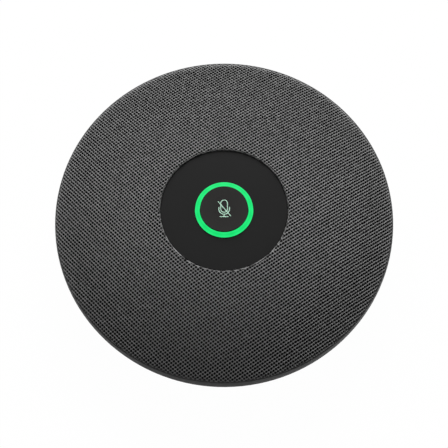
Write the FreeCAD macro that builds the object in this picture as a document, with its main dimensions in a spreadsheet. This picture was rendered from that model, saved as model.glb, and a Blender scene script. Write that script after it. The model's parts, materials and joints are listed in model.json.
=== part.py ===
"""Conference speakerphone: a round, fabric-topped puck with one mute key in a light ring.

The part stands on Z = 0 with its axis on Z and its ports at the rear, +Y. Millimetres.
Every size is a cell of the sheet; a Size carries a cell, or sums of cells, as a value and as
the expression that binds a feature to the sheet.
"""
import FreeCAD, Part
import math
import os
import Sketcher

V = FreeCAD.Vector

# Driving sizes: alias and value. Radii are measured from the puck's axis.
SIZES = (
    # the puck
    ("overall_radius", 62.0), ("overall_height", 25.5), ("crown_drop", 0.35), ("dome_drop", 8.0),
    ("parting_height", 9.6), ("fabric_edge_height", 15.9),
    # bottom shell
    ("base_gap", 0.8), ("floor_thick", 2.0), ("floor_inset", 7.4), ("shell_wall", 2.3),
    ("shell_curve", 18.0), ("tongue_height", 1.0), ("tongue_thick", 1.0),
    ("rib_thick", 1.2), ("rib_height", 1.0), ("rib_inset", 2.0), ("hub_radius", 24.0),
    # foot
    ("foot_inset", 13.0), ("foot_width", 7.0), ("foot_seat_depth", 0.7), ("foot_round", 0.5),
    # rim ring
    ("rim_wall", 2.4), ("rim_bulge", 0.35), ("rim_reveal", 0.3), ("rim_reveal_depth", 1.0),
    ("rim_ledge", 1.9), ("rim_ledge_thick", 1.2),
    # baffle and its fixings
    ("baffle_top", 15.35), ("baffle_thick", 1.5), ("baffle_rib_height", 2.0),
    ("boss_radius", 3.4), ("boss_top", 10.0),
    ("case_shank", 1.1), ("case_head", 2.0), ("case_head_thick", 1.3), ("case_screw_depth", 3.0),
    # fabric, its frame and the pod in the middle
    ("fabric_thick", 0.9), ("fabric_gap", 0.1), ("shoulder_width", 2.0), ("shoulder_round", 5.2),
    ("edge_inset", 0.5), ("grille_thick", 1.6), ("skirt_width", 3.2), ("cell_pitch", 8.4),
    ("cell_across", 6.1), ("cell_margin", 1.5), ("pod_wall", 1.2), ("pod_depth", 5.3),
    ("pod_floor_thick", 0.8), ("pod_hole", 6.0),
    # panel, light ring and key
    ("panel_radius", 22.9), ("panel_gap", 0.15), ("panel_drop", 1.1), ("panel_thick", 1.2),
    ("panel_edge", 0.15), ("panel_skirt", 1.4), ("ring_outer", 10.4), ("ring_inner", 8.85),
    ("ring_proud", 0.35), ("ring_drop", 0.1), ("ring_flange", 1.8), ("ring_skirt", 0.8),
    ("key_gap", 0.2), ("key_thick", 1.1), ("key_skirt", 1.2), ("key_dish", 0.12),
    ("key_flange", 0.9), ("key_flange_thick", 0.6), ("key_post", 1.6), ("seat_gap", 0.05),
    # control board
    ("control_board_inset", 2.1), ("control_board_thick", 0.8), ("control_boss_height", 0.7),
    ("control_screw_inset", 4.6), ("small_shank", 0.8), ("small_head", 1.5),
    ("small_head_thick", 0.9), ("led_length", 1.6), ("led_width", 0.8), ("led_height", 0.5),
    ("switch_side", 6.0), ("switch_height", 1.1), ("plunger_radius", 1.5),
    ("plunger_travel", 0.45), ("plunger_sunk", 0.6),
    # speaker
    ("gasket_thick", 0.3), ("flange_thick", 0.7), ("flange_radius", 28.4), ("flange_width", 3.8),
    ("cone_inset", 4.2), ("basket_wall", 0.8), ("basket_taper", 7.0), ("shelf_height", 2.6),
    ("speaker_screw_inset", 1.5), ("motor_inset", 2.4), ("top_plate_thick", 1.4),
    ("magnet_thick", 3.0), ("yoke_thick", 2.0), ("pole_radius", 6.5), ("gap_clear", 0.35),
    ("coil_thick", 0.25), ("winding_thick", 0.35), ("cone_thick", 0.35), ("surround_thick", 0.3),
    ("basket_depth", 5.9), ("cap_height", 1.7), ("cap_radius", 9.2), ("magnet_room", 2.9),
    ("neck_rise", 1.0), ("vent_radius", 2.0),
    # main board and what it carries
    ("board_inset", 8.0), ("board_room", 3.4), ("board_thick", 1.2), ("standoff_height", 1.4),
    ("standoff_radius", 2.4), ("board_screw_radius", 31.0), ("chip_height", 1.2),
    ("battery_length", 34.0), ("battery_width", 14.0), ("battery_thick", 7.0),
    ("battery_inset", 27.5), ("battery_round", 2.1), ("pad_thick", 0.4), ("battery_room", 2.0),
    # microphones
    ("mic_inset", 18.0), ("mic_board_width", 6.0), ("mic_board_thick", 0.8),
    ("mic_length", 3.5), ("mic_width", 2.65), ("mic_height", 1.0), ("mic_port", 0.5),
    # port and side buttons
    ("port_width", 8.94), ("port_height", 3.26), ("port_depth", 8.0), ("port_inset", 3.4),
    ("port_wall", 0.3), ("port_clear", 0.35), ("port_recess", 2.2), ("tongue_width", 6.6),
    ("port_tongue_thick", 0.7), ("port_mouth", 6.2), ("button_length", 8.4), ("button_height", 2.6),
    ("button_proud", 0.8), ("button_wing", 1.5), ("button_wing_thick", 0.8),
    ("button_wing_inset", 6.8), ("button_lift", 0.2), ("button_clear", 0.25), ("button_angle", 28.0),
    ("button_switch_depth", 3.6), ("button_switch_width", 4.6), ("button_switch_height", 2.6),
    ("button_switch_inset", 8.6), ("button_plunger", 0.9),
)

CASE_SCREWS = 4
CONTROL_SCREWS = 3
SPEAKER_SCREWS = 4
BOARD_SCREWS = 4
LEDS = 12
MICROPHONES = 6
SHELL_RIBS = 12
BASKET_WINDOWS = 6
FIRST_CELL_ROW = 4

# Directions of the screws in degrees, and shares with no size of their own.
SCREW_TURN = 45
CONTROL_TURN = 90
SLOT_ROUND = 0.51
ROLL_ROUND = 1.08
WINDOW_SHARE = 0.6
WALL_LEAN = 0.6


class Size:
    """A length with its value and the expression that gives it from the sheet."""

    def __init__(self, value, text):
        self.value = value
        self.text = text

    @staticmethod
    def of(other):
        return other if isinstance(other, Size) else Size(float(other), "%.9g" % other)

    def join(self, other, sign, value):
        return Size(value, "(%s %s %s)" % (self.text, sign, Size.of(other).text))

    def __add__(self, other):
        return self.join(other, "+", self.value + Size.of(other).value)

    def __sub__(self, other):
        return self.join(other, "-", self.value - Size.of(other).value)

    def __mul__(self, other):
        return self.join(other, "*", self.value * Size.of(other).value)

    def __truediv__(self, other):
        return self.join(other, "/", self.value / Size.of(other).value)

    def __neg__(self):
        return Size(-self.value, "(0 - %s)" % self.text)

    def __radd__(self, other):
        return Size.of(other) + self

    def __rsub__(self, other):
        return Size.of(other) - self

    def __rmul__(self, other):
        return Size.of(other) * self


def root(size):
    return Size(math.sqrt(size.value), "sqrt(%s)" % size.text)


class Sheet:
    """The document's sheet of sizes, read as attributes."""

    def __init__(self, doc):
        cells = doc.addObject("Spreadsheet::Sheet", "sizes")
        for row, (alias, value) in enumerate(SIZES, start=1):
            cells.set("A%d" % row, alias)
            cells.set("B%d" % row, "%g" % value)
            cells.setAlias("B%d" % row, alias)
            setattr(self, alias, Size(value, "sizes." + alias))


doc = FreeCAD.newDocument("speakerphone")
s = Sheet(doc)
doc.recompute()
NODES = []


# ---------------------------------------------------------------- sketches and features

def bind(thing, prop, size):
    """Give a property its value and the expression that keeps it."""
    if "." not in prop:
        setattr(thing, prop, Size.of(size).value)
    thing.setExpression(prop, Size.of(size).text)


def new_body(label, turn=None):
    """A body for one node, turned about the puck's axis where its piece is off the X axis."""
    body = doc.addObject("PartDesign::Body", label)
    body.Label = label
    body.AllowCompound = True
    if turn is not None:
        body.Placement = FreeCAD.Placement(V(0, 0, 0), FreeCAD.Rotation(V(0, 0, 1), turn.value))
        body.setExpression("Placement.Rotation.Angle", turn.text)
    NODES.append(body)
    return body


def origin_part(body, role):
    return [item for item in body.Origin.OriginFeatures if item.Role == role][0]


class Outline:
    """Closed outlines of one sketch; each corner and radius is bound to the sheet."""

    def __init__(self, body, role, level=0, turn=None):
        self.sketch = body.newObject("Sketcher::SketchObject", body.Label + "_outline")
        self.sketch.AttachmentSupport = [(origin_part(body, role), "")]
        self.sketch.MapMode = "FlatFace"
        self.bounds = []
        self.texts = []
        if turn is not None:
            self.sketch.AttachmentOffset = FreeCAD.Placement(
                V(0, 0, 0), FreeCAD.Rotation(V(0, 1, 0), turn.value))
            bind(self.sketch, "AttachmentOffset.Rotation.Angle", turn)
        bind(self.sketch, "AttachmentOffset.Base.z", level)

    def fix(self, kind, geometry, point, size):
        """Hold one coordinate of a point at a size, measured from the sketch's origin."""
        size = Size.of(size)
        axis = -2 if kind == "DistanceX" else -1
        if size.value == 0 and not size.text.startswith("("):
            self.bounds.append(Sketcher.Constraint("PointOnObject", geometry, point, axis))
            self.texts.append(None)
            return
        ends = (-1, 1, geometry, point) if size.value >= 0 else (geometry, point, -1, 1)
        self.bounds.append(Sketcher.Constraint(kind, *ends, abs(size.value)))
        self.texts.append(size.text if size.value >= 0 else "(0 - %s)" % size.text)

    def radius(self, geometry, size):
        self.bounds.append(Sketcher.Constraint("Radius", geometry, Size.of(size).value))
        self.texts.append(Size.of(size).text)

    def circle(self, across, up, radius):
        centre = V(Size.of(across).value, Size.of(up).value, 0)
        geometry = self.sketch.addGeometry(Part.Circle(centre, V(0, 0, 1), Size.of(radius).value))
        self.fix("DistanceX", geometry, 3, across)
        self.fix("DistanceY", geometry, 3, up)
        self.radius(geometry, radius)
        return self

    def loop(self, corners):
        """A loop through corners (across, up) or (across, up, radius).

        A radius makes the side that ends at its corner an arc: above zero it bulges to the
        right of its direction, below zero to the left.
        """
        spots = [V(Size.of(corner[0]).value, Size.of(corner[1]).value, 0) for corner in corners]
        first = self.sketch.GeometryCount
        for index, start in enumerate(spots):
            corner = corners[(index + 1) % len(corners)]
            end = spots[(index + 1) % len(spots)]
            if len(corner) == 2:
                self.sketch.addGeometry(Part.LineSegment(start, end))
            else:
                self.sketch.addGeometry(bow(start, end, Size.of(corner[2]).value))
                self.radius(first + index, abs_size(corner[2]))
        for index, corner in enumerate(corners):
            start = start_point(self.sketch.Geometry[first + index], spots[index])
            self.fix("DistanceX", first + index, start, corner[0])
            self.fix("DistanceY", first + index, start, corner[1])
            before = (index - 1) % len(corners)
            end = 3 - start_point(self.sketch.Geometry[first + before], spots[before])
            self.bounds.append(Sketcher.Constraint(
                "Coincident", first + before, end, first + index, start))
            self.texts.append(None)
        return self

    def box(self, across, up, width, height):
        """A rectangle about a centre."""
        left, right = across - width / 2, across + width / 2
        low, high = up - height / 2, up + height / 2
        return self.loop([(left, low), (right, low), (right, high), (left, high)])

    def stadium(self, up, length, height):
        """A slot with full round ends, centred across."""
        end = height * SLOT_ROUND
        half = length / 2 - height * (SLOT_ROUND - math.sqrt(SLOT_ROUND ** 2 - 0.25))
        low, high = up - height / 2, up + height / 2
        return self.loop([(-half, low, end), (half, low), (half, high, end), (-half, high)])

    def done(self):
        self.sketch.addConstraint(self.bounds)
        for index, text in enumerate(self.texts):
            if text is not None:
                self.sketch.setExpression("Constraints[%d]" % index, text)
        doc.recompute()
        return self.sketch


def abs_size(size):
    size = Size.of(size)
    return size if size.value >= 0 else -size


def bow(start, end, radius):
    """The short arc from start to end; its sign says to which side it bulges."""
    run = end - start
    half = run.Length / 2
    right = V(run.y, -run.x, 0).normalize()
    away = math.sqrt(radius * radius - half * half)
    centre = (start + end) / 2 - right * math.copysign(away, radius)
    first, last = (start, end) if radius > 0 else (end, start)
    begin = math.atan2(first.y - centre.y, first.x - centre.x)
    turn = (math.atan2(last.y - centre.y, last.x - centre.x) - begin) % (2 * math.pi)
    circle = Part.Circle(centre, V(0, 0, 1), abs(radius))
    return Part.ArcOfCircle(circle, begin, begin + turn)


def start_point(geometry, spot):
    """1 or 2: which end of a sketch edge lies at a spot."""
    return 1 if (geometry.StartPoint - spot).Length < 1e-6 else 2


def feature(body, kind, name, sketch=None, **settings):
    made = body.newObject("PartDesign::" + kind, body.Label + "_" + name)
    if sketch is not None:
        made.Profile = sketch
        sketch.Visibility = False
    for prop, value in settings.items():
        setattr(made, prop, value)
    return made


def lathe(body, corners):
    """Turn a section about the puck's axis."""
    sketch = Outline(body, "XZ_Plane").loop(corners).done()
    feature(body, "Revolution", "turned", sketch, ReferenceAxis=(sketch, ["V_Axis"]), Angle=360)
    doc.recompute()


def pad(body, outline, length):
    made = feature(body, "Pad", "pad", outline.done())
    bind(made, "Length", length)
    doc.recompute()
    return made


def pocket(body, outline, length):
    """Cut away from the sketch against its normal."""
    before = body.Shape.Volume
    made = feature(body, "Pocket", "pocket", outline.done())
    bind(made, "Length", length)
    doc.recompute()
    if made.Shape.Volume > before - 1e-6:
        raise RuntimeError(body.Label + ": a pocket cut nothing")
    return made


def around(body, made, count):
    """Repeat a feature evenly about the puck's axis."""
    pattern = feature(body, "PolarPattern", "around", Originals=[made], Angle=360,
                      Occurrences=count, Axis=(origin_part(body, "Z_Axis"), [""]))
    body.Tip = pattern
    doc.recompute()
    return pattern


def ring(label, inner, outer, low, high):
    body = new_body(label)
    lathe(body, [(inner, low), (outer, low), (outer, high), (inner, high)])
    return body


# ---------------------------------------------------------------- shared heights and radii

AXIS = Size.of(0)
FLOOR_TOP = s.base_gap + s.floor_thick
FLOOR_RADIUS = s.overall_radius - s.floor_inset
FOOT_RADIUS = s.overall_radius - s.foot_inset
HEAD_SEAT = FLOOR_TOP + s.foot_round
SHELL_RADIUS = s.overall_radius - s.rim_bulge
RIM_BORE = SHELL_RADIUS - s.rim_wall
RIM_TOP = s.fabric_edge_height - s.seat_gap
BAFFLE_UNDER = s.baffle_top - s.baffle_thick

BOARD_RADIUS = s.overall_radius - s.board_inset
BOARD_UNDER = FLOOR_TOP + s.standoff_height
BOARD_TOP = BOARD_UNDER + s.board_thick
BATTERY_OFFSET = s.overall_radius - s.battery_inset
MIC_RADIUS = s.overall_radius - s.mic_inset
MIC_SEAT = s.baffle_top + s.mic_board_thick
PORT_FACE = s.overall_radius - s.port_inset
PORT_MIDDLE = BOARD_TOP + s.port_height / 2
WING_FACE = s.overall_radius - s.button_wing_inset
SWITCH_FACE = s.overall_radius - s.button_switch_inset
BUTTON_MIDDLE = BOARD_TOP + s.button_switch_height / 2 + s.button_lift

FABRIC_RADIUS = s.overall_radius - s.edge_inset
BROW_RADIUS = FABRIC_RADIUS - s.shoulder_width
WELL_RADIUS = s.panel_radius + s.panel_gap
CROWN_TOP = s.overall_height - s.crown_drop
DOME_LIP = ((BROW_RADIUS * BROW_RADIUS - WELL_RADIUS * WELL_RADIUS) / s.dome_drop - s.dome_drop) / 2
DOME_RADIUS = root((DOME_LIP + s.dome_drop) * (DOME_LIP + s.dome_drop) + WELL_RADIUS * WELL_RADIUS)
GRILLE_DEPTH = s.fabric_thick + s.fabric_gap
POD_BORE = WELL_RADIUS + GRILLE_DEPTH
POD_OUTER = POD_BORE + s.pod_wall
POD_FLOOR = s.overall_height - s.pod_depth
POD_UNDER = POD_FLOOR - s.pod_floor_thick

PANEL_TOP = s.overall_height - s.panel_drop
PANEL_UNDER = PANEL_TOP - s.panel_thick
RING_STOP = PANEL_UNDER - s.seat_gap * 2
KEY_RADIUS = s.ring_inner - s.key_gap
KEY_FLANGE = KEY_RADIUS + s.key_flange
SKIRT_BORE = KEY_FLANGE + s.button_clear
CONTROL_UNDER = POD_FLOOR + s.control_boss_height
CONTROL_TOP = CONTROL_UNDER + s.control_board_thick
CONTROL_SCREW_RADIUS = s.panel_radius - s.control_screw_inset
SWITCH_TOP = CONTROL_TOP + s.switch_height
PLUNGER_TOP = SWITCH_TOP + s.plunger_travel

FLANGE_UNDER = s.baffle_top + s.gasket_thick
FLANGE_TOP = FLANGE_UNDER + s.flange_thick
SPEAKER_SCREW_RADIUS = s.flange_radius - s.speaker_screw_inset
BASKET_RADIUS = s.flange_radius - s.flange_width
BASKET_FOOT = BASKET_RADIUS - s.basket_taper
CONE_RADIUS = BASKET_RADIUS - s.cone_inset
MOTOR_RADIUS = BASKET_FOOT - s.motor_inset
MAGNET_BORE = s.pole_radius + s.magnet_room
GAP_WIDTH = s.gap_clear * 2 + s.coil_thick + s.winding_thick
PLATE_TOP = FLANGE_UNDER - s.basket_depth
SHELF = PLATE_TOP + s.shelf_height
PLATE_UNDER = PLATE_TOP - s.top_plate_thick
MAGNET_UNDER = PLATE_UNDER - s.magnet_thick
YOKE_UNDER = MAGNET_UNDER - s.yoke_thick


def dome_height(radius, depth=0):
    """Height at a radius of the dome, or of the surface a depth below it."""
    bow_radius = DOME_RADIUS - depth
    lip = root(DOME_RADIUS * DOME_RADIUS - WELL_RADIUS * WELL_RADIUS)
    return CROWN_TOP - lip + root(bow_radius * bow_radius - radius * radius)


def spot(radius, degrees):
    """Across and up of a point at a radius and an angle."""
    angle = math.radians(degrees)
    return radius * math.cos(angle), radius * math.sin(angle)


# ---------------------------------------------------------------- housing

def make_bottom_shell():
    body = new_body("bottom_shell")
    seat = s.base_gap + s.foot_seat_depth
    foot_inner = FOOT_RADIUS - s.foot_width / 2 - s.seat_gap
    foot_outer = FOOT_RADIUS + s.foot_width / 2 + s.seat_gap
    tongue_outer = RIM_BORE - s.seat_gap * 2
    tongue_inner = tongue_outer - s.tongue_thick
    tongue_top = s.parting_height + s.tongue_height
    lathe(body, [
        (0, s.base_gap), (foot_inner, s.base_gap), (foot_inner, seat), (foot_outer, seat),
        (foot_outer, s.base_gap), (FLOOR_RADIUS, s.base_gap),
        (SHELL_RADIUS, s.parting_height, s.shell_curve), (tongue_outer, s.parting_height),
        (tongue_outer, tongue_top), (tongue_inner, tongue_top),
        (tongue_inner, s.parting_height),
        (FLOOR_RADIUS - s.shell_wall * WALL_LEAN, FLOOR_TOP, s.shell_wall - s.shell_curve),
        (0, FLOOR_TOP)])
    rib_length = BOARD_RADIUS - s.hub_radius - s.rib_inset
    rib = Outline(body, "XY_Plane", FLOOR_TOP).box(
        s.hub_radius + rib_length / 2, AXIS, rib_length, s.rib_thick)
    around(body, pad(body, rib, s.rib_height), SHELL_RIBS)
    bay = Outline(body, "XY_Plane", FLOOR_TOP + s.rib_height).box(
        AXIS, -(BATTERY_OFFSET + s.battery_width / 2),
        s.battery_length + s.battery_room * 2, s.battery_width + s.battery_room * 2)
    pocket(body, bay, s.rib_height)
    make_shell_bosses(body, seat)
    make_shell_openings(body)


def make_shell_bosses(body, seat):
    """Screw tubes for the baffle and stand-offs for the main board."""
    tube = Outline(body, "XY_Plane", FLOOR_TOP).circle(*spot(FOOT_RADIUS, SCREW_TURN), s.boss_radius)
    around(body, pad(body, tube, s.boss_top - FLOOR_TOP), CASE_SCREWS)
    bore = Outline(body, "XY_Plane", s.boss_top).circle(
        *spot(FOOT_RADIUS, SCREW_TURN), s.case_shank + s.seat_gap)
    around(body, pocket(body, bore, s.boss_top - seat), CASE_SCREWS)
    sink = Outline(body, "XY_Plane", HEAD_SEAT).circle(
        *spot(FOOT_RADIUS, SCREW_TURN), s.case_head + s.button_clear)
    around(body, pocket(body, sink, HEAD_SEAT - seat), CASE_SCREWS)
    post = Outline(body, "XY_Plane", FLOOR_TOP).circle(
        *spot(s.board_screw_radius, SCREW_TURN), s.standoff_radius)
    around(body, pad(body, post, s.standoff_height), BOARD_SCREWS)
    pilot = Outline(body, "XY_Plane", BOARD_UNDER).circle(
        *spot(s.board_screw_radius, SCREW_TURN), s.small_shank + s.seat_gap)
    around(body, pocket(body, pilot, s.standoff_height + s.floor_thick / 2), BOARD_SCREWS)


def make_shell_openings(body):
    """The port with its recess, and a slot for each side button."""
    port = Outline(body, "XZ_Plane").stadium(
        PORT_MIDDLE, s.port_width + s.port_clear * 2, s.port_height + s.port_clear * 2)
    pocket(body, port, s.overall_radius)
    recess = Outline(body, "XZ_Plane", -PORT_FACE).stadium(
        PORT_MIDDLE, s.port_width + s.port_recess * 2, s.port_height + s.port_recess)
    pocket(body, recess, s.overall_radius)
    for side in (-1, 1):
        slot = Outline(body, "XZ_Plane", 0, s.button_angle * side).stadium(
            BUTTON_MIDDLE, s.button_length + s.button_clear * 2,
            s.button_height + s.button_clear * 2)
        pocket(body, slot, s.overall_radius)


def make_foot_ring():
    inner = FOOT_RADIUS - s.foot_width / 2
    outer = FOOT_RADIUS + s.foot_width / 2
    top = s.base_gap + s.foot_seat_depth
    lathe(new_body("foot_ring"), [
        (inner + s.foot_round, 0, s.foot_round), (outer - s.foot_round, 0),
        (outer, s.foot_round, s.foot_round), (outer, top), (inner, top), (inner, s.foot_round)])


def make_rim_ring():
    bulge_height = RIM_TOP - s.parting_height - s.rim_reveal
    bulge_round = bulge_height * bulge_height / (s.rim_bulge * 8) + s.rim_bulge / 2
    reveal_radius = SHELL_RADIUS - s.rim_reveal_depth
    ledge_radius = RIM_BORE - s.rim_ledge
    ledge_under = BAFFLE_UNDER - s.rim_ledge_thick
    lathe(new_body("rim_ring"), [
        (RIM_BORE, s.parting_height), (reveal_radius, s.parting_height),
        (reveal_radius, s.parting_height + s.rim_reveal),
        (SHELL_RADIUS, s.parting_height + s.rim_reveal),
        (SHELL_RADIUS, RIM_TOP, bulge_round), (RIM_BORE, RIM_TOP), (RIM_BORE, BAFFLE_UNDER),
        (ledge_radius, BAFFLE_UNDER), (ledge_radius, ledge_under),
        (RIM_BORE, ledge_under - s.rim_ledge)])


def make_baffle():
    body = new_body("speaker_baffle")
    bore = BASKET_RADIUS + s.basket_wall
    edge = RIM_BORE - s.seat_gap * 2
    lathe(body, [(bore, BAFFLE_UNDER), (edge, BAFFLE_UNDER), (edge, s.baffle_top),
                 (bore, s.baffle_top)])
    rib_length = RIM_BORE - s.rim_ledge - s.board_screw_radius - s.rib_inset / 2
    rib = Outline(body, "XY_Plane", BAFFLE_UNDER - s.baffle_rib_height).box(
        s.board_screw_radius + rib_length / 2, AXIS, rib_length, s.rib_thick)
    around(body, pad(body, rib, s.baffle_rib_height), CASE_SCREWS * 2)
    post = Outline(body, "XY_Plane", s.boss_top).circle(
        *spot(FOOT_RADIUS, SCREW_TURN), s.boss_radius - s.seat_gap * 4)
    around(body, pad(body, post, BAFFLE_UNDER - s.boss_top), CASE_SCREWS)
    pilot = Outline(body, "XY_Plane", s.boss_top + s.case_screw_depth + s.seat_gap).circle(
        *spot(FOOT_RADIUS, SCREW_TURN), s.case_shank + s.seat_gap)
    around(body, pocket(body, pilot, s.case_screw_depth + s.seat_gap), CASE_SCREWS)
    screw = Outline(body, "XY_Plane", s.baffle_top).circle(
        *spot(SPEAKER_SCREW_RADIUS, SCREW_TURN), s.small_shank + s.seat_gap)
    around(body, pocket(body, screw, s.baffle_thick), SPEAKER_SCREWS)


# ---------------------------------------------------------------- grille, fabric and pod

def make_grille_frame():
    """A moulded honeycomb dome with the key pod in its middle; the fabric lies over it."""
    body = new_body("grille_frame")
    under = GRILLE_DEPTH + s.grille_thick
    brow = BROW_RADIUS - s.edge_inset / 2
    hem = FABRIC_RADIUS - GRILLE_DEPTH - s.seat_gap
    skirt = brow - s.skirt_width
    skirt_outer = RIM_BORE - s.seat_gap * 2
    crown = POD_BORE + s.seat_gap * 6
    lathe(body, [
        (s.pod_hole, POD_UNDER), (POD_OUTER, POD_UNDER), (POD_OUTER, dome_height(POD_OUTER, under)),
        (skirt, dome_height(skirt, under), under - DOME_RADIUS),
        (skirt, s.baffle_top), (skirt_outer, s.baffle_top), (skirt_outer, s.fabric_edge_height),
        (hem, s.fabric_edge_height), (brow, dome_height(brow, GRILLE_DEPTH),
                                      s.shoulder_round - GRILLE_DEPTH),
        (crown, dome_height(crown, GRILLE_DEPTH), DOME_RADIUS - GRILLE_DEPTH),
        (POD_BORE, dome_height(crown, GRILLE_DEPTH) - s.seat_gap * 6),
        (POD_BORE, POD_FLOOR), (s.pod_hole, POD_FLOOR)])
    boss = Outline(body, "XY_Plane", POD_FLOOR).circle(
        *spot(CONTROL_SCREW_RADIUS, CONTROL_TURN), s.standoff_radius)
    around(body, pad(body, boss, s.control_boss_height), CONTROL_SCREWS)
    pilot = Outline(body, "XY_Plane", CONTROL_UNDER).circle(
        *spot(CONTROL_SCREW_RADIUS, CONTROL_TURN), s.small_shank + s.seat_gap)
    around(body, pocket(body, pilot, s.control_boss_height + s.pod_floor_thick), CONTROL_SCREWS)
    cells = Outline(body, "XY_Plane", s.overall_height)
    for count, row_radius in cell_rows(skirt):
        for index in range(count):
            degrees = 60 * (index + 0.5) / count
            cells.loop(cell(row_radius, degrees))
    around(body, pocket(body, cells, s.overall_height - s.baffle_top), 6)


def cell_rows(limit):
    """Cells in a sixth of each row and the row's radius; one more cell in each row out."""
    rows, count = [], FIRST_CELL_ROW
    while True:
        row_radius = s.cell_pitch * (count * 3 / math.pi)
        if row_radius.value + s.cell_across.value / 2 + s.cell_margin.value > limit.value:
            return rows
        if row_radius.value - s.cell_across.value / 2 > POD_OUTER.value:
            rows.append((count, row_radius))
        count += 1


def cell(row_radius, degrees):
    """Six corners of a cell, two of its flats facing the puck's axis."""
    corner = s.cell_across / math.sqrt(3)
    across, up = spot(row_radius, degrees)
    corners = []
    for step in range(6):
        x, y = spot(corner, degrees + 30 + 60 * step)
        corners.append((across + x, up + y))
    return corners


def make_fabric_cover():
    """The knitted cover, stretched over the dome and tucked in at both of its edges."""
    thick = s.fabric_thick
    brow_under = BROW_RADIUS - s.seat_gap * 2
    tuck = POD_FLOOR + s.panel_thick * 2
    crown = WELL_RADIUS + s.seat_gap * 8
    crown_under = WELL_RADIUS + thick + s.seat_gap * 6
    hem = s.fabric_edge_height + s.seat_gap
    lathe(new_body("fabric_cover"), [
        (WELL_RADIUS, tuck), (WELL_RADIUS + thick, tuck),
        (WELL_RADIUS + thick, dome_height(crown_under, thick) - s.seat_gap * 6),
        (crown_under, dome_height(crown_under, thick)),
        (brow_under, dome_height(brow_under, thick), thick - DOME_RADIUS),
        (FABRIC_RADIUS - thick, hem, thick - s.shoulder_round), (FABRIC_RADIUS, hem),
        (BROW_RADIUS, dome_height(BROW_RADIUS), s.shoulder_round),
        (crown, dome_height(crown), DOME_RADIUS),
        (WELL_RADIUS, dome_height(crown) - s.seat_gap * 8, s.seat_gap * 9)])


def make_top_panel():
    skirt = s.panel_radius - s.panel_skirt
    bore = s.ring_outer + s.seat_gap * 2
    lathe(new_body("top_panel"), [
        (bore, PANEL_UNDER), (skirt, PANEL_UNDER), (skirt, POD_FLOOR),
        (s.panel_radius, POD_FLOOR), (s.panel_radius, PANEL_TOP - s.panel_edge),
        (s.panel_radius - s.panel_edge, PANEL_TOP), (bore, PANEL_TOP)])


def make_light_ring():
    """A clear light guide that slopes up to the key; its lamps shine into the skirt."""
    middle = PANEL_UNDER - s.seat_gap
    flange = s.ring_outer + s.ring_flange
    lathe(new_body("light_ring"), [
        (SKIRT_BORE, middle - s.ring_skirt), (flange, middle - s.ring_skirt), (flange, middle),
        (s.ring_outer, middle), (s.ring_outer, PANEL_TOP + s.ring_proud),
        (s.ring_inner, s.overall_height - s.ring_drop),
        (s.ring_inner, RING_STOP), (SKIRT_BORE, RING_STOP)])


def make_mute_key():
    under = s.overall_height - s.key_thick
    flange_top = RING_STOP - s.seat_gap * 2
    flange_under = flange_top - s.key_flange_thick
    lip = KEY_RADIUS - s.seat_gap * 3
    dish_round = (lip * lip + s.key_dish * s.key_dish) / (s.key_dish * 2)
    lathe(new_body("mute_key"), [
        (0, PLUNGER_TOP), (s.key_post, PLUNGER_TOP), (s.key_post, under),
        (KEY_RADIUS - s.key_skirt, under), (KEY_RADIUS - s.key_skirt, flange_under),
        (KEY_FLANGE, flange_under), (KEY_FLANGE, flange_top), (KEY_RADIUS, flange_top),
        (KEY_RADIUS, s.overall_height - s.seat_gap * 3), (lip, s.overall_height),
        (0, s.overall_height - s.key_dish, -dish_round)])


def make_control_board():
    body = new_body("control_board")
    plate = Outline(body, "XY_Plane", CONTROL_UNDER).circle(0, 0, s.panel_radius - s.control_board_inset)
    pad(body, plate, s.control_board_thick)
    hole = Outline(body, "XY_Plane", CONTROL_TOP).circle(
        *spot(CONTROL_SCREW_RADIUS, CONTROL_TURN), s.small_shank + s.seat_gap)
    around(body, pocket(body, hole, s.control_board_thick), CONTROL_SCREWS)
    lamps = new_body("status_leds")
    middle = (SKIRT_BORE + s.ring_outer + s.ring_flange) / 2
    lamp = Outline(lamps, "XY_Plane", CONTROL_TOP).box(middle, AXIS, s.led_width, s.led_length)
    around(lamps, pad(lamps, lamp, s.led_height), LEDS)


def make_mute_switch():
    body = new_body("mute_switch")
    case = Outline(body, "XY_Plane", CONTROL_TOP).box(
        AXIS, AXIS, s.switch_side, s.switch_side)
    case.circle(0, 0, s.plunger_radius + s.seat_gap)
    pad(body, case, s.switch_height)
    plunger = new_body("mute_plunger")
    stem = Outline(plunger, "XY_Plane", SWITCH_TOP - s.plunger_sunk).circle(0, 0, s.plunger_radius)
    pad(plunger, stem, PLUNGER_TOP - SWITCH_TOP + s.plunger_sunk)


# ---------------------------------------------------------------- speaker

def make_speaker_frame():
    body = new_body("speaker_frame")
    wall = s.basket_wall
    foot, rim = BASKET_FOOT, BASKET_RADIUS
    lathe(body, [
        (MAGNET_BORE - wall, PLATE_TOP), (foot, PLATE_TOP), (foot, SHELF - wall),
        (rim, FLANGE_UNDER - wall / 2), (rim, FLANGE_UNDER), (s.flange_radius, FLANGE_UNDER),
        (s.flange_radius, FLANGE_TOP), (rim - wall, FLANGE_TOP), (rim - wall, FLANGE_UNDER),
        (foot - wall / 2, SHELF), (foot - wall * 2.5, SHELF), (foot - wall * 2.5, SHELF - wall),
        (foot - wall, SHELF - wall), (foot - wall, PLATE_TOP + wall),
        (MAGNET_BORE - wall, PLATE_TOP + wall)])
    window = Outline(body, "XY_Plane", FLANGE_UNDER - s.gasket_thick).box(
        (foot + rim) / 2 - wall / 4, AXIS, rim - foot - wall * 3, foot * WINDOW_SHARE)
    around(body, pocket(body, window, s.basket_depth), BASKET_WINDOWS)
    hole = Outline(body, "XY_Plane", FLANGE_TOP).circle(
        *spot(SPEAKER_SCREW_RADIUS, SCREW_TURN), s.small_shank + s.seat_gap)
    around(body, pocket(body, hole, s.flange_thick), SPEAKER_SCREWS)


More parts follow.
